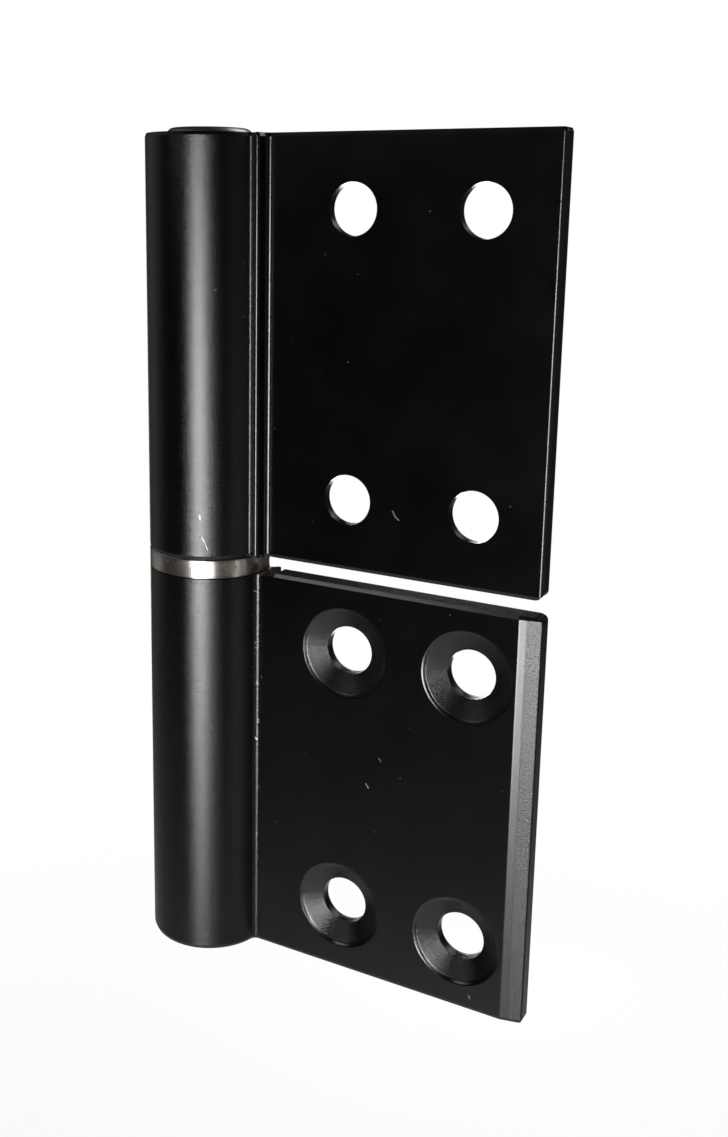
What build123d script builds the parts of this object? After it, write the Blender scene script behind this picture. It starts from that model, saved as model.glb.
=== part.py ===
from build123d import *
import os
from math import cos, radians, sin

# Lift-off flag hinge: two equal leaves on one pin, with a thrust washer between their barrels.
# All sizes are in millimetres. The leaves stand upright, one above the other, and point along +X.

# Leaf
leaf_height = 58.8          # length of the extrusion
leaf_reach = 51.8           # pin axis to the free edge of the plate
plate_thickness = 3.2       # the plate is centred on the pin axis
barrel_diameter = 18.0
root_radius = 0.8           # inside corner where the plate leaves the barrel
edge_break_length = 0.5     # shallow chamfer around both cut ends, along the leaf
edge_break_depth = 0.2      # the same chamfer, into the end

# Free edge of the plate
bevel_width = 3.0           # across the countersunk face
bevel_depth = 0.7           # into the plate
bevel_start_radius = 0.5    # where the bevel leaves the countersunk face
bevel_end_radius = 0.3      # where the bevel meets the free edge
back_edge_radius = 0.5
inner_corner_radius = 1.2   # corner next to the other leaf
outer_corner_radius = 0.5   # corner at the far end of the hinge

# Locating rib on the back face, beside the barrel
rib_foot_gap = 1.4          # barrel surface to the foot of the rib
rib_crest_gap = 1.1         # barrel surface to the crest of the rib
rib_height = 3.0            # above the back face
rib_groove_angle = 15.5     # where the groove behind the rib meets the barrel, in degrees
rib_foot_radius = 0.8
rib_crest_radius = 0.5
rib_groove_radius = 0.5     # bottom of the groove between rib and barrel

# Screw holes
screw_hole_diameter = 7.0
countersink_diameter = 13.0
countersink_angle = 120.0
rim_break = 0.1             # fine bevel around each countersink, beyond its radius
rim_break_angle = 150.0
screw_column_inset = 9.9    # free edge to the outer column of holes
screw_column_pitch = 18.5
screw_row_pitch = 39.0

# Pin and washer
pin_diameter = 12.0
pin_end_height = 0.8        # stands above the upper barrel
pin_end_radius = 1.0
pin_foot_recess = 0.6       # lies inside the lower barrel
pin_foot_chamfer = 0.5
washer_thickness = 2.9
washer_edge_break = 0.2
seat_depth = 0.5            # washer seat turned into the inner end of the lower leaf
seat_margin = 3.0           # the seat is this much larger in radius than the barrel

# Clearances, per side
pin_running_clearance = 0.05
washer_running_clearance = 0.1

# Sizes that follow from the ones above
barrel_radius = barrel_diameter / 2
half_thickness = plate_thickness / 2
screw_centre_x = leaf_reach - screw_column_inset - screw_column_pitch / 2
screw_centre_z = leaf_height / 2
washer_bottom = leaf_height - seat_depth
total_height = washer_bottom + washer_thickness + leaf_height
pin_length = total_height + pin_end_height - pin_foot_recess

# The origin is the middle of the lower leaf's screw pattern, on its back face.
to_origin = Pos(-screw_centre_x, -half_thickness, -screw_centre_z)


def soften(sketch, point, radius):
    """Round the corner of a flat outline that lies nearest to a point."""
    corner = sketch.vertices().sort_by_distance(Vector(*point))[0]
    return fillet(corner, radius)


def leaf_profile():
    """Cross-section of the extrusion: the countersunk face looks to -Y, the rib to +Y."""
    bevel_start = (leaf_reach - bevel_width, -half_thickness)
    bevel_end = (leaf_reach, bevel_depth - half_thickness)
    back_corner = (leaf_reach, half_thickness)
    front_start = (0, -half_thickness)
    back_start = (0, half_thickness)
    plate = make_face(Polyline(front_start, bevel_start, bevel_end, back_corner, back_start, close=True))
    rib_foot = (barrel_radius + rib_foot_gap, half_thickness)
    rib_crest = (barrel_radius + rib_crest_gap, half_thickness + rib_height)
    groove_angle = radians(rib_groove_angle)
    groove = (barrel_radius * cos(groove_angle), barrel_radius * sin(groove_angle))
    rib = make_face(Polyline((0, 0), (rib_foot[0], 0), rib_foot, rib_crest, groove, close=True))
    profile = Circle(barrel_radius) + plate + rib
    front_root = ((barrel_radius**2 - half_thickness**2) ** 0.5, -half_thickness)
    profile = soften(profile, front_root, root_radius)
    profile = soften(profile, rib_foot, rib_foot_radius)
    profile = soften(profile, groove, rib_groove_radius)
    profile = soften(profile, rib_crest, rib_crest_radius)
    profile = soften(profile, bevel_start, bevel_start_radius)
    profile = soften(profile, bevel_end, bevel_end_radius)
    return soften(profile, back_corner, back_edge_radius)


def leaf(bore_diameter):
    """One leaf, standing on its outer end, with its inner end on top."""
    solid = extrude(leaf_profile(), leaf_height)
    for side in (0, -1):
        end = solid.faces().sort_by(Axis.Z)[side]
        solid = chamfer(end.edges(), edge_break_depth, edge_break_length, reference=end)
    width = leaf_reach + barrel_diameter
    outline = Pos(leaf_reach - width / 2, leaf_height / 2) * Rectangle(width, leaf_height)
    outline = soften(outline, (leaf_reach, leaf_height), inner_corner_radius)
    outline = soften(outline, (leaf_reach, 0), outer_corner_radius)
    solid = solid & extrude(Plane.XZ * outline, barrel_diameter, both=True)
    solid -= Pos(0, 0, leaf_height / 2) * Cylinder(bore_diameter / 2, 2 * leaf_height)
    face = Plane((screw_centre_x, -half_thickness, screw_centre_z), x_dir=(1, 0, 0), z_dir=(0, -1, 0))
    hole = CounterSinkHole(
        screw_hole_diameter / 2, countersink_diameter / 2, plate_thickness, countersink_angle
    )
    rim = CounterSinkHole(
        screw_hole_diameter / 2, countersink_diameter / 2 + rim_break, plate_thickness, rim_break_angle
    )
    for spot in GridLocations(screw_column_pitch, screw_row_pitch, 2, 2):
        solid -= face * spot * hole
        solid -= face * spot * rim
    return solid


lower_leaf = leaf(pin_diameter)
lower_leaf -= Pos(0, 0, leaf_height) * Cylinder(barrel_radius + seat_margin, 2 * seat_depth)

upper_leaf = leaf(pin_diameter + 2 * pin_running_clearance)
upper_leaf = Pos(0, 0, total_height) * Rot(180, 0, 0) * upper_leaf

washer_bore_radius = pin_diameter / 2 + washer_running_clearance
thrust_washer = Cylinder(barrel_radius, washer_thickness) - Cylinder(washer_bore_radius, washer_thickness)
thrust_washer = chamfer(thrust_washer.edges().filter_by(GeomType.CIRCLE), washer_edge_break)
thrust_washer = Pos(0, 0, washer_bottom + washer_thickness / 2) * thrust_washer

hinge_pin = Cylinder(pin_diameter / 2, pin_length)
hinge_pin = fillet(hinge_pin.edges().filter_by(GeomType.CIRCLE).sort_by(Axis.Z)[-1], pin_end_radius)
hinge_pin = chamfer(hinge_pin.edges().filter_by(GeomType.CIRCLE).sort_by(Axis.Z)[0], pin_foot_chamfer)
hinge_pin = Pos(0, 0, pin_foot_recess + pin_length / 2) * hinge_pin

nodes = {
    "lower_leaf": lower_leaf,
    "upper_leaf": upper_leaf,
    "thrust_washer": thrust_washer,
    "hinge_pin": hinge_pin,
}
os.makedirs("parts", exist_ok=True)
for name, solid in nodes.items():
    export_step(to_origin * solid, f"parts/{name}.step")
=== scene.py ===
# %% [markdown]
# # A lift-off flag hinge, dressed for its portrait
#
# The hinge is four metal pieces: two equal black leaves, a steel pin and a bright washer.
# Their shapes are finished in the construction model, so this lesson is about finish: a satin
# black coat with a few nicks, a turned washer and a ground pin, then the light that shows them.

# %% Load the construction model
import math
import bpy
from mathutils import Matrix, Vector


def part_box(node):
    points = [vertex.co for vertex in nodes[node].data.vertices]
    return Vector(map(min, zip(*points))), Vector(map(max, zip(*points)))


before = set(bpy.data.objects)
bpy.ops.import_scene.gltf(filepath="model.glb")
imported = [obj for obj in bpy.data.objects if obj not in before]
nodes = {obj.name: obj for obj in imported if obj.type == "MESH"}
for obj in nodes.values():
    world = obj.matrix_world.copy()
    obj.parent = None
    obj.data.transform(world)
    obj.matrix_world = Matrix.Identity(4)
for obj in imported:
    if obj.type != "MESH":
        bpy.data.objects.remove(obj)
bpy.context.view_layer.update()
print("pieces:", sorted(nodes))

# %% [markdown]
# ## Places that the finish needs to know
#
# The coat is not the same all over: it is grainy on the round barrel and duller on the bevel at the
# free edge. A finish could ask the mesh which way it faces, but measuring from the pieces' own boxes
# is steadier. So the pin's axis, the free edge, the washer and the base are read from them here.

# %% Measure the hinge
MM = 1000.0
pin_low, pin_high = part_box("hinge_pin")
lower_low, lower_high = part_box("lower_leaf")
upper_low, upper_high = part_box("upper_leaf")
washer_low, washer_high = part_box("thrust_washer")
axis_x = (pin_low.x + pin_high.x) / 2 * MM
axis_y = (pin_low.y + pin_high.y) / 2 * MM
base_z = lower_low.z * MM
top_z = upper_high.z * MM
washer_z = (washer_low.z + washer_high.z) / 2 * MM
free_edge_x = lower_high.x * MM
print(f"axis at {axis_x:.1f}, {axis_y:.1f} mm; height {top_z - base_z:.1f} mm")

# %% [markdown]
# ## Writing a finish as sums
#
# A finish is a network of small nodes. Written node by node it is long and hard to read, so one
# small class wraps a node's output: adding or multiplying two of them adds the Math node that
# does it, and one method, `node`, makes any other kind.

# %% A socket that can be added and multiplied
class Wire:
    """One output of a node, which can be used in sums."""

    def __init__(self, tree, socket=None):
        self.tree = tree
        self.socket = socket

    def node(self, kind, settings=None, inputs=None, out=0):
        """Add a node, set it up, feed it, and return one of its outputs."""
        made = self.tree.nodes.new(kind)
        for name, value in (settings or {}).items():
            setattr(made, name, value)
        for name, value in (inputs or {}).items():
            if isinstance(value, Wire):
                self.tree.links.new(value.socket, made.inputs[name])
            else:
                made.inputs[name].default_value = value
        return Wire(self.tree, made.outputs[out])

    def math(self, operation, first, second):
        return self.node("ShaderNodeMath", {"operation": operation}, {0: first, 1: second})

    def vector_math(self, operation, inputs, out="Vector"):
        return self.node("ShaderNodeVectorMath", {"operation": operation}, inputs, out)

    def __add__(self, other):
        return self.math("ADD", self, other)

    def __sub__(self, other):
        return self.math("SUBTRACT", self, other)

    def __mul__(self, other):
        return self.math("MULTIPLY", self, other)

    def __radd__(self, other):
        return self.math("ADD", other, self)

    def __rsub__(self, other):
        return self.math("SUBTRACT", other, self)

    def __rmul__(self, other):
        return self.math("MULTIPLY", other, self)

    def biggest(self, other):
        return self.math("MAXIMUM", self, other)

    def size(self):
        return self.node("ShaderNodeMath", {"operation": "ABSOLUTE"}, {0: self})

    def root(self):
        return self.node("ShaderNodeMath", {"operation": "SQRT"}, {0: self})

    def sine(self):
        return self.node("ShaderNodeMath", {"operation": "SINE"}, {0: self})


print("sums of sockets ready")

# %% [markdown]
# ## Patterns that the finishes share
#
# Every finish reads the piece's own coordinates in millimetres, so a speck keeps its real size.
# `fade` is a soft step, `cloud` is noise, `specks` scatters dots, and `mark` draws one scratch or
# nick between two places, because a few of them are plain to see in the picture.

# %% Places on a piece
def millimetres(start):
    """The piece's own coordinates, in millimetres."""
    place = start.node("ShaderNodeTexCoord", out="Object")
    return start.vector_math("SCALE", {0: place, "Scale": MM})


def parts_of(vector):
    """The X, Y and Z of a vector."""
    split = vector.node("ShaderNodeSeparateXYZ", inputs={0: vector})
    outputs = split.socket.node.outputs
    return [Wire(vector.tree, outputs[i]) for i in range(3)]


def from_axis(x, y):
    """Distance from the pin's axis."""
    across = x - axis_x
    deep = y - axis_y
    return (across * across + deep * deep).root()


print("places ready")

# %% Soft steps
def fade(value, low, high):
    """0 below low, 1 above high, and a soft step between them."""
    return value.node(
        "ShaderNodeMapRange",
        {"interpolation_type": "SMOOTHSTEP"},
        {"Value": value, "From Min": low, "From Max": high, "To Min": 0.0, "To Max": 1.0},
    )


def fall(value, near, far):
    """1 up to near, 0 past far, and a soft step between them."""
    return 1.0 - fade(value, near, far)


print("soft steps ready")

# %% Noise and specks
NOISE_ROUGHNESS = 0.55
NO_SHIFT = (0.0, 0.0, 0.0)
EVEN = (1.0, 1.0, 1.0)


def cloud(place, per_mm, detail, offset=NO_SHIFT, stretch=EVEN):
    """Noise from 0 to 1. Stretch gives it a direction."""
    moved = place.node(
        "ShaderNodeMapping",
        inputs={"Vector": place, "Location": offset, "Scale": stretch},
    )
    return place.node(
        "ShaderNodeTexNoise",
        inputs={"Vector": moved, "Scale": per_mm, "Detail": detail, "Roughness": NOISE_ROUGHNESS},
    )


def specks(place, per_mm, radius, share, offset):
    """Scattered dots: radius is in cells, share is the part of the cells that has one."""
    moved = place.node("ShaderNodeMapping", inputs={"Vector": place, "Location": offset})
    cells = place.node(
        "ShaderNodeTexVoronoi",
        inputs={"Vector": moved, "Scale": per_mm, "Randomness": 1.0},
    )
    outputs = cells.socket.node.outputs
    distance = Wire(place.tree, outputs["Distance"])
    chance = parts_of(Wire(place.tree, outputs["Color"]))[0]
    return fall(distance, radius * 0.5, radius) * fade(chance, 1.0 - share, 1.02 - share)


print("noise and specks ready")

# %% Nicks and scratches
def mark(place, start, end, radius):
    """One scratch from start to end, or a nick where they are close together."""
    along = Vector(end) - Vector(start)
    scale = tuple(along / along.length_squared)
    offset = place.vector_math("SUBTRACT", {0: place, 1: start})
    share = place.vector_math("DOT_PRODUCT", {0: offset, 1: scale}, "Value")
    share = place.node("ShaderNodeClamp", inputs={"Value": share})
    foot = place.vector_math("SCALE", {0: tuple(along), "Scale": share})
    apart = place.vector_math("DISTANCE", {0: offset, 1: foot}, "Value")
    return fall(apart, radius * 0.4, radius)


print("nicks ready")

# %% Shared parts of a material
def tint(start, share, under, over):
    """Mix two colours, or lay one over the other, by share. Each is a wire or a plain colour."""
    under, over = [c if isinstance(c, Wire) else (*c, 1.0) for c in (under, over)]
    return start.node("ShaderNodeMix", {"data_type": "RGBA"}, {0: share, 6: under, 7: over}, out=2)


def bump(height, strength):
    """A bump from a height in millimetres."""
    return height.node(
        "ShaderNodeBump",
        inputs={"Strength": strength, "Distance": 1.0 / MM, "Height": height},
    )


def new_finish(name):
    """A material with one principled shader, and the start of its sums."""
    material = bpy.data.materials.new(name)
    material.use_nodes = True
    shader = material.node_tree.nodes["Principled BSDF"]
    return material, shader, Wire(material.node_tree)


def plug(wire, shader, name):
    wire.tree.links.new(wire.socket, shader.inputs[name])


print("material helpers ready")

# %% [markdown]
# ## The satin black leaves
#
# The leaves are extruded metal with a thin black coat. From a step away it is one black, so the
# finish is mostly gloss. A high roughness would spread the light of the lamps over the flat plates
# and turn them grey, so the coat is rather smooth, and a fine grain in the bump makes the highlight
# satin where it matters: on the barrel and in the countersink cones. The bevel is plainly duller.
#
# Clouds in colour and roughness keep the coat from looking like plastic, a little dust lies on it,
# and it is chipped along the root of the plate and at a few nicks that the picture shows. Each of
# these is a mask from 0 to 1, mixed into colour, gloss and bump.

# %% Nicks in the coat
# Each nick has a start, an end and a radius in millimetres, and how bare the metal is.
LOWER_NICKS = [
    ((-3.4, -3.2, 5.1), (-3.0, -3.2, 4.6), 0.12, 0.35),
    ((-5.3, -3.2, 0.7), (-4.9, -3.2, 0.2), 0.15, 0.9),
    ((-23.4, -3.2, 6.5), (-23.2, -3.2, 6.1), 0.13, 0.5),
    ((-23.9, -3.3, 3.9), (-23.5, -3.3, 3.5), 0.22, 1.0),
    ((17.3, -3.1, -14.1), (17.5, -3.1, -14.7), 0.14, 0.7),
    ((11.5, -3.2, -27.2), (11.7, -3.2, -27.6), 0.13, 0.6),
]
UPPER_NICKS = [
    ((-2.3, -3.2, 41.0), (-1.9, -3.2, 40.3), 0.16, 0.45),
    ((-1.9, -3.2, 40.3), (-1.4, -3.2, 39.9), 0.12, 0.7),
    ((-29.1, -9.9, 38.3), (-29.0, -9.9, 37.8), 0.20, 1.0),
    ((-28.8, -9.8, 35.2), (-28.5, -9.6, 34.5), 0.13, 0.9),
    ((-28.5, -9.6, 34.5), (-28.1, -9.35, 33.3), 0.09, 0.8),
]
print(len(LOWER_NICKS) + len(UPPER_NICKS), "nicks")

# %% Areas of a leaf
BARREL_RADIUS = 9.0
HALF_PLATE = 1.6
BEVEL_WIDTH = 3.0
EDGE_BREAK = 0.5
PLATE_FROM_AXIS = 12.0
BORDER = 0.1
BARREL_MARGIN = (0.2, 0.8)
FLAT_SKIN = 0.06
CONE_BELOW_FACE = (0.3, 0.2)


def leaf_areas(x, y, z, low, high):
    """The barrel, the bevel and the cones of the leaf from low to high, each as a mask."""
    radius = from_axis(x, y)
    barrel = fall(radius, BARREL_RADIUS + BARREL_MARGIN[0], BARREL_RADIUS + BARREL_MARGIN[1])
    half_height = (high.z - low.z) / 2 * MM
    from_middle = (z - (low.z + high.z) / 2 * MM).size()
    end = half_height - EDGE_BREAK
    between_ends = fall(from_middle, end, end + BORDER)
    deep = (y - axis_y).size()
    bevel_start = free_edge_x - BEVEL_WIDTH
    past_bevel_start = fade(x, bevel_start - BORDER, bevel_start + BORDER)
    bevel = past_bevel_start * fall(deep, HALF_PLATE - FLAT_SKIN, HALF_PLATE)
    plate_start = axis_x + PLATE_FROM_AXIS
    below_face = fall(deep, HALF_PLATE - CONE_BELOW_FACE[0], HALF_PLATE - CONE_BELOW_FACE[1])
    cone = below_face * fade(x, plate_start, plate_start + 1.0)
    return barrel, bevel * between_ends, cone * between_ends


print("bevel from", round(free_edge_x - BEVEL_WIDTH, 1), "to", round(free_edge_x, 1), "mm")

# %% Chips in the coat
ROOT_FROM_AXIS = 9.3
ROOT_DEPTH = 1.9
ROOT_REACH = (0.4, 0.8)
ROOT_BARENESS = 0.5


def leaf_chips(place, x, y, nicks, shift):
    """Where metal shows: in patches along the root of the plate, and at the nicks."""
    from_root_x = (x - (axis_x + ROOT_FROM_AXIS)).size()
    from_root_y = (y - (axis_y - ROOT_DEPTH)).size()
    at_root = fall(from_root_x.biggest(from_root_y), *ROOT_REACH)
    patches = fade(cloud(place, per_mm=1.3, detail=4.0, offset=shift), 0.66, 0.72)
    chips = at_root * patches * ROOT_BARENESS
    ragged = fade(cloud(place, per_mm=5.0, detail=2.0, offset=shift), 0.15, 0.5)
    for first, last, radius, bareness in nicks:
        chips = chips.biggest(mark(place, first, last, radius) * ragged * bareness)
    return chips


print("plate's root", ROOT_FROM_AXIS, "mm from the axis")

# %% Colours, gloss and grain of the coat
COAT_BLACK = (0.0012, 0.0011, 0.0013)
COAT_WARM = (0.0022, 0.0020, 0.0019)
DUST_GREY = (0.045, 0.043, 0.042)
BARE_METAL = (0.34, 0.33, 0.32)
COAT_ROUGHNESS = 0.15
WORN_DULL = 0.03
BEVEL_DULL = 0.12
DUST_DULL = 0.3
BARE_DULL = 0.15
BARE_METALLIC = 0.6
FINE_PER_MM = 12.0
COARSE_PER_MM = 4.0
GRAIN_HEIGHT = 0.006
BARREL_FINE = 0.015
BARREL_COARSE = 0.017
CONE_GRAIN = 0.018
BEVEL_CALM = 0.005
DUST_HEIGHT = 0.006
BARE_DEPTH = 0.012
print("coat roughness", COAT_ROUGHNESS, "and on the bevel", COAT_ROUGHNESS + BEVEL_DULL)

# %% Finish for a leaf
def leaf_finish(name, low, high, nicks, shift):
    """Black coat for the leaf from low to high. Shift moves its patterns, so that the leaves differ."""
    material, shader, start = new_finish(name)
    place = millimetres(start)
    x, y, z = parts_of(place)
    barrel, bevel, cone = leaf_areas(x, y, z, low, high)
    chips = leaf_chips(place, x, y, nicks, shift)
    fine_dust = specks(place, per_mm=0.8, radius=0.10, share=0.07, offset=shift)
    large_dust = specks(place, per_mm=0.3, radius=0.05, share=0.15, offset=shift)
    dust = fine_dust.biggest(large_dust)

    clouding = fade(cloud(place, per_mm=0.14, detail=5.0, offset=shift), 0.35, 0.75)
    coat = tint(start, clouding, COAT_BLACK, COAT_WARM)
    colour = tint(start, dust, coat, DUST_GREY)
    plug(tint(start, chips, colour, BARE_METAL), shader, "Base Color")

    worn = fade(cloud(place, per_mm=0.07, detail=3.0, offset=shift), 0.3, 0.8)
    gloss_loss = worn * WORN_DULL + bevel * BEVEL_DULL + dust * DUST_DULL + chips * BARE_DULL
    plug(COAT_ROUGHNESS + gloss_loss, shader, "Roughness")
    plug(chips * BARE_METALLIC, shader, "Metallic")

    fine_height = GRAIN_HEIGHT + barrel * BARREL_FINE + cone * CONE_GRAIN - bevel * BEVEL_CALM
    coarse_height = GRAIN_HEIGHT + barrel * BARREL_COARSE + cone * CONE_GRAIN - bevel * BEVEL_CALM
    fine_grain = cloud(place, FINE_PER_MM, detail=2.0, offset=shift) * fine_height
    coarse_grain = cloud(place, COARSE_PER_MM, detail=1.0, offset=shift) * coarse_height
    height = fine_grain + coarse_grain + dust * DUST_HEIGHT - chips * BARE_DEPTH
    plug(bump(height, 1.0), shader, "Normal")
    return material


print("leaf finish ready")

# %% One coat for each leaf
LOWER_SHIFT = (0.0, 0.0, 0.0)
UPPER_SHIFT = (37.0, 11.0, 23.0)
leaf_finishes = {
    "lower_leaf": leaf_finish("black_coat_lower", lower_low, lower_high, LOWER_NICKS, LOWER_SHIFT),
    "upper_leaf": leaf_finish("black_coat_upper", upper_low, upper_high, UPPER_NICKS, UPPER_SHIFT),
}
print("leaf finishes:", [finish.name for finish in leaf_finishes.values()])

# %% [markdown]
# ## The bright washer
#
# The washer was turned on a lathe and polished, so its rim is nearly a mirror with very fine lines
# around it and a few brown stains. Noise that is squeezed along the axis gives the lines, and a
# larger noise gives the stains. Near its top and bottom edges, where the washer meets the barrels,
# the same brown is painted in as shade.

# %% Finish for the washer
POLISHED_STEEL = (0.70, 0.66, 0.62)
# brown of the real stains, also used for the painted shade at the washer's top and bottom edges
STAIN_AND_SHADE_BROWN = (0.25, 0.17, 0.115)
WASHER_ROUGHNESS = 0.16
LINE_DULL = 0.10
STAIN_DULL = 0.12
LINE_HEIGHT = 0.01
LINE_BUMP = 0.35
# how far from the middle of the washer the painted edge shade begins and is full, in millimetres
EDGE_SHADE_FROM_MIDDLE = (0.75, 1.2)
ALONG_RIM = (0.12, 0.12, 9.0)
STAIN_SHIFT = (4.0, 2.0, 9.0)


def washer_finish():
    """Polished steel with fine lines around the rim, stains, and painted shade at its top and bottom
    edges.
    """
    material, shader, start = new_finish("turned_washer")
    place = millimetres(start)
    z = parts_of(place)[2]
    lines = cloud(place, per_mm=1.0, detail=3.0, stretch=ALONG_RIM)
    stain = fade(cloud(place, per_mm=0.35, detail=4.0, offset=STAIN_SHIFT), 0.46, 0.68)
    # painted shade: the washer turns brown towards its top and bottom edges, where it meets the barrels
    painted_edge_shade = fade((z - washer_z).size(), *EDGE_SHADE_FROM_MIDDLE)
    # the brown share is the real stains plus the painted edge shade
    share = (stain * 0.6 + painted_edge_shade * 0.35) * 0.9
    plug(tint(start, share, POLISHED_STEEL, STAIN_AND_SHADE_BROWN), shader, "Base Color")
    plug(WASHER_ROUGHNESS + lines * LINE_DULL + stain * STAIN_DULL, shader, "Roughness")
    plug(bump(lines * LINE_HEIGHT, LINE_BUMP), shader, "Normal")
    shader.inputs["Metallic"].default_value = 1.0
    return material


washer_steel = washer_finish()
print("washer finish:", washer_steel.name)

# %% [markdown]
# ## The ground pin
#
# The pin is ground steel: duller and darker than the washer, with rings on its faced end. Rings need
# the distance from the axis, which the sums give directly: the sine of that distance is a ripple.

# %% Finish for the pin
GROUND_STEEL = (0.36, 0.36, 0.37)
OILY_STEEL = (0.25, 0.235, 0.22)
GRIME_STRETCH = (0.25, 0.25, 1.6)
GRINDING_STRETCH = (0.2, 0.2, 1.5)
RING_TURN_PER_MM = 24.0
RING_HEIGHT = 0.002
GRINDING_HEIGHT = 0.003
PIN_BUMP = 0.4
PIN_ROUGHNESS = 0.32
GRIME_DULL = 0.08


def pin_finish():
    """Ground steel with a little grime, and rings around the axis."""
    material, shader, start = new_finish("ground_pin")
    place = millimetres(start)
    x, y = parts_of(place)[:2]
    rings = (from_axis(x, y) * RING_TURN_PER_MM).sine()
    grinding = cloud(place, per_mm=4.0, detail=2.0, stretch=GRINDING_STRETCH)
    grime = fade(cloud(place, per_mm=0.5, detail=3.0, stretch=GRIME_STRETCH), 0.35, 0.8)
    plug(tint(start, grime, GROUND_STEEL, OILY_STEEL), shader, "Base Color")
    plug(PIN_ROUGHNESS + grime * GRIME_DULL, shader, "Roughness")
    height = rings * RING_HEIGHT + grinding * GRINDING_HEIGHT
    plug(bump(height, PIN_BUMP), shader, "Normal")
    shader.inputs["Metallic"].default_value = 1.0
    return material


pin_steel = pin_finish()
print("pin finish:", pin_steel.name)

# %% [markdown]
# ## Dress the pieces
#
# A piece from the construction model already has a material slot, with a plain colour in it.
# Putting the new finish in that slot is all that is needed.

# %% Put the finishes on
finishes = {**leaf_finishes, "thrust_washer": washer_steel, "hinge_pin": pin_steel}
for node_name, finish in finishes.items():
    node = nodes[node_name]
    for slot in node.material_slots:
        slot.material = finish
    print(node_name, "has", finish.name, "on", len(node.data.polygons), "faces")

# %% [markdown]
# ## The camera
#
# The photograph was taken close up, a little above the middle, with the leaves turned away by
# about thirty degrees, and then cropped. So the camera stands near, and its lens is shifted
# sideways and up rather than turned, which keeps the upright edges as they are in the picture.

# %% Place of the camera
CAMERA_FROM_AXIS = (101.44, -152.85)
CAMERA_ABOVE_BASE = 110.19
CAMERA_AZIMUTH = 0.5179
CAMERA_PITCH = 0.2123
CAMERA_ROLL = 0.0114

camera_data = bpy.data.cameras.new("portrait_camera")
camera = bpy.data.objects.new("portrait_camera", camera_data)
bpy.context.scene.collection.objects.link(camera)
bpy.context.scene.camera = camera

level = Vector((-math.sin(CAMERA_AZIMUTH), math.cos(CAMERA_AZIMUTH), 0.0))
upright = Vector((0.0, 0.0, 1.0))
ahead = level * math.cos(CAMERA_PITCH) - upright * math.sin(CAMERA_PITCH)
overhead = level * math.sin(CAMERA_PITCH) + upright * math.cos(CAMERA_PITCH)
aside = Vector((math.cos(CAMERA_AZIMUTH), math.sin(CAMERA_AZIMUTH), 0.0))
right = aside * math.cos(CAMERA_ROLL) + overhead * math.sin(CAMERA_ROLL)
up = overhead * math.cos(CAMERA_ROLL) - aside * math.sin(CAMERA_ROLL)
turn = Matrix((right, up, -ahead)).transposed().to_4x4()
camera_x = axis_x + CAMERA_FROM_AXIS[0]
camera_y = axis_y + CAMERA_FROM_AXIS[1]
camera_z = base_z + CAMERA_ABOVE_BASE
spot = Vector((camera_x, camera_y, camera_z)) / MM
camera.matrix_world = Matrix.Translation(spot) @ turn
print("camera at", [round(v, 4) for v in spot])

# %% Lens of the camera
PHOTO_WIDTH = 728
PHOTO_HEIGHT = 1137
FOCAL_PIXELS = 1273.0
OPTICAL_CENTRE = (295.6, 482.1)
SENSOR_WIDTH = 36.0
NEAREST_SEEN = 0.01

camera_data.sensor_width = SENSOR_WIDTH
camera_data.lens = SENSOR_WIDTH * FOCAL_PIXELS / PHOTO_HEIGHT
camera_data.shift_x = (PHOTO_WIDTH / 2 - OPTICAL_CENTRE[0]) / PHOTO_HEIGHT
camera_data.shift_y = (OPTICAL_CENTRE[1] - PHOTO_HEIGHT / 2) / PHOTO_HEIGHT
camera_data.clip_start = NEAREST_SEEN
print("lens", round(camera_data.lens, 1), "mm")

# %% [markdown]
# ## The floor
#
# The hinge is made to be screwed to a door, so it is shown held up, over a pale floor. The floor is
# white because the camera sees it as white, not because more light falls on the hinge. It is whiter
# towards its rim, so that no horizon shows.

# %% Floor
FLOOR_DROP = 0.42
FLOOR_RADIUS = 1.4
FLOOR_CORNERS = 96

bpy.ops.object.select_all(action="DESELECT")
middle = Vector((axis_x / MM, axis_y / MM, base_z / MM - FLOOR_DROP))
bpy.ops.mesh.primitive_circle_add(
    vertices=FLOOR_CORNERS, radius=FLOOR_RADIUS, fill_type="NGON", location=middle
)
floor = bpy.context.active_object
floor.name = "studio_floor"
print("floor", FLOOR_DROP, "m below the hinge")

# %% White of the floor
MIDDLE_WHITENESS = 0.88
RIM_GAIN = 0.12
WHITE_FADE = (0.2, 0.9)
FLOOR_GREY = (0.8, 0.8, 0.8, 1.0)
WHITE = (1.0, 1.0, 1.0, 1.0)

floor_material = bpy.data.materials.new("pale_floor")
floor_material.use_nodes = True
floor_tree = floor_material.node_tree
floor_tree.nodes.clear()
floor_start = Wire(floor_tree)
seen = floor_start.node("ShaderNodeLightPath", out="Is Camera Ray")
floor_place = floor_start.node("ShaderNodeTexCoord", out="Object")
from_middle = floor_start.vector_math("LENGTH", {0: floor_place}, "Value")
whiteness = MIDDLE_WHITENESS + fade(from_middle, *WHITE_FADE) * RIM_GAIN
matte = floor_start.node("ShaderNodeBsdfDiffuse", inputs={"Color": FLOOR_GREY})
white = floor_start.node("ShaderNodeEmission", inputs={"Color": WHITE, "Strength": 1.0})
shown = floor_start.node("ShaderNodeMixShader", inputs={0: seen * whiteness, 1: matte, 2: white})
output = floor_tree.nodes.new("ShaderNodeOutputMaterial")
floor_tree.links.new(shown.socket, output.inputs["Surface"])
floor.data.materials.append(floor_material)
print("floor has", floor_material.name)

# %% [markdown]
# ## The room around it
#
# The camera sees the world as white, and metal that mirrors the backdrop sees it so too. For all
# other light the room is dark, with a soft glow from the left and the right, which draws the sides
# of the barrels. Where the flat plates mirror the room it stays darkest, and they stay black.

# %% What shows the world as white
BACKDROP_FADE = (0.92, 0.985)

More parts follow.
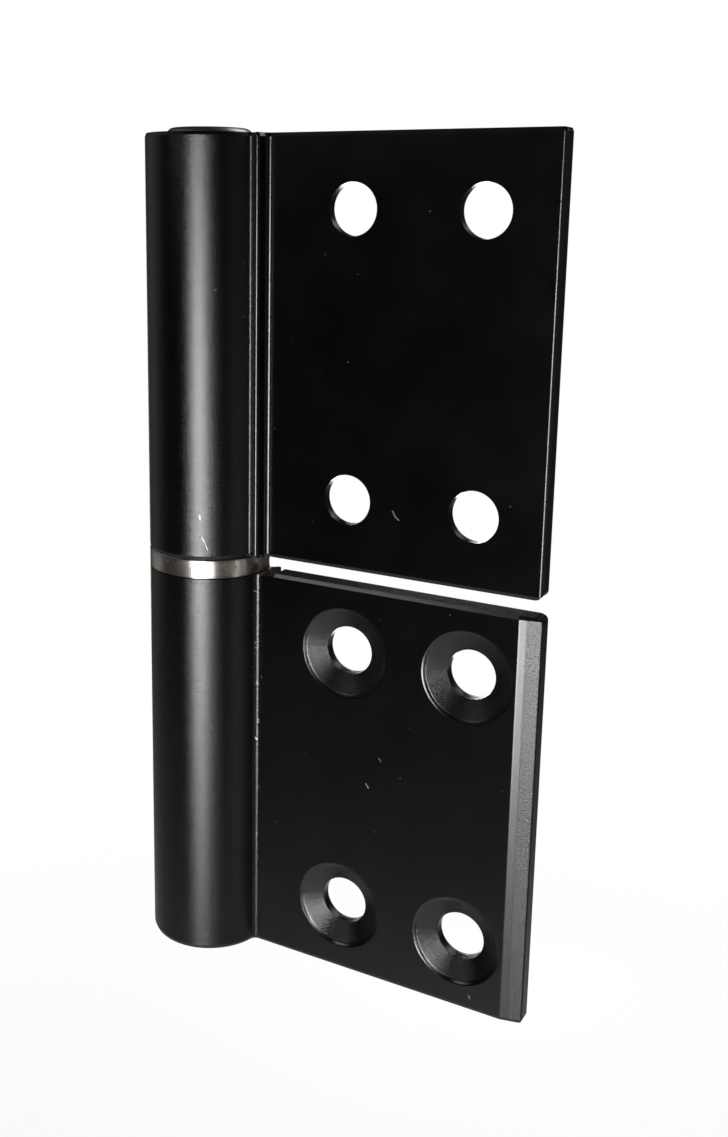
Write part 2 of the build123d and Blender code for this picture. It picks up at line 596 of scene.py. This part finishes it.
world = bpy.data.worlds.new("white_room")
bpy.context.scene.world = world
world.use_nodes = True
world_tree = world.node_tree
world_tree.nodes.clear()
room = Wire(world_tree)
path = room.node("ShaderNodeLightPath", out="Is Camera Ray")
path_outputs = path.socket.node.outputs
is_glossy = Wire(world_tree, path_outputs["Is Glossy Ray"])
is_through = Wire(world_tree, path_outputs["Is Transmission Ray"])
direction = room.node("ShaderNodeTexCoord", out="Generated")
behind = room.vector_math("DOT_PRODUCT", {0: direction, 1: tuple(ahead)}, "Value")
backdrop = fade(behind, *BACKDROP_FADE)
shows_white = path.biggest(is_through).biggest(is_glossy * backdrop)
print("world", world.name)

# %% Light of the room
LEFT_GLOW = 0.20
RIGHT_GLOW = 0.14
ROOM_GLOW = 0.02
LEAST_GLOW = 0.01
SIDE_FADE = (0.4, 0.9)
BACK_FADE = (0.15, 0.45)
FRONT_FADE = (0.60, 0.90)
WARM_WHITE = (1.0, 0.97, 0.94, 1.0)

mirrored = (ahead.x, -ahead.y, ahead.z)
facing = room.vector_math("DOT_PRODUCT", {0: direction, 1: mirrored}, "Value")
sideways = room.vector_math("DOT_PRODUCT", {0: direction, 1: tuple(aside)}, "Value")
left_light = fade(0.0 - sideways, *SIDE_FADE) * LEFT_GLOW
right_light = fade(sideways, *SIDE_FADE) * fall(behind, *BACK_FADE) * RIGHT_GLOW
room_light = (ROOM_GLOW + left_light + right_light) * fall(facing, *FRONT_FADE) + LEAST_GLOW
fill = room.node("ShaderNodeBackground", inputs={"Color": WARM_WHITE, "Strength": room_light})
bright = room.node("ShaderNodeBackground", inputs={"Color": WHITE, "Strength": 1.0})
mixed = room.node("ShaderNodeMixShader", inputs={0: shows_white, 1: fill, 2: bright})
world_output = world_tree.nodes.new("ShaderNodeOutputWorld")
world_tree.links.new(mixed.socket, world_output.inputs["Surface"])
print("room glow, left and right:", LEFT_GLOW, RIGHT_GLOW)

# %% [markdown]
# ## Lights
#
# Each highlight in the picture tells where a lamp stood. The long one on the barrels and the sheen
# of the bevel come from one soft box low in front. They are brightest in the middle, so a taller
# and dimmer box stands behind the first. A dim one beside it lights the cones of the countersinks,
# a narrow one on the right draws the barrels' right sides, and one overhead draws the upper edge of
# the lower leaf. The two at the back are for views from above and behind.

# %% Soft boxes
def soft_box(name, azimuth, elevation, distance, width, height, watts):
    """A rectangular soft box that faces the washer. Azimuth 0 is in front, 90 is on the right."""
    lamp_data = bpy.data.lights.new(name, "AREA")
    lamp_data.shape = "RECTANGLE"
    lamp_data.size = width
    lamp_data.size_y = height
    lamp_data.energy = watts
    lamp = bpy.data.objects.new(name, lamp_data)
    bpy.context.scene.collection.objects.link(lamp)
    side = math.radians(azimuth)
    climb = math.radians(elevation)
    outward = math.cos(climb)
    toward = Vector((math.sin(side) * outward, -math.cos(side) * outward, math.sin(climb)))
    target = Vector((axis_x, axis_y, washer_z)) / MM
    lamp.location = target + toward * distance
    lamp.rotation_euler = toward.to_track_quat("Z", "Y").to_euler()
    lamp.visible_camera = False
    return lamp


# Each lamp has a name, two angles in degrees, its distance, width and height in metres, and its watts.
lamps = [
    soft_box("front_box", 12.5, -10.0, 0.75, 0.20, 0.40, 5.5),
    soft_box("tall_front_box", 12.5, -14.0, 0.80, 0.20, 0.95, 1.0),
    soft_box("dim_front_box", 32.0, -18.0, 0.75, 0.14, 0.30, 0.36),
    soft_box("side_box", 82.0, -20.0, 0.80, 0.10, 0.30, 0.08),
    soft_box("top_box", -27.0, 20.0, 0.80, 0.22, 0.10, 0.28),
    soft_box("back_box", 150.0, 45.0, 0.90, 0.50, 0.50, 2.5),
    soft_box("rear_box", 197.0, -12.0, 0.80, 0.22, 0.55, 2.6),
]
bpy.context.scene.view_settings.view_transform = "Standard"
print("lamps:", [lamp.name for lamp in lamps])
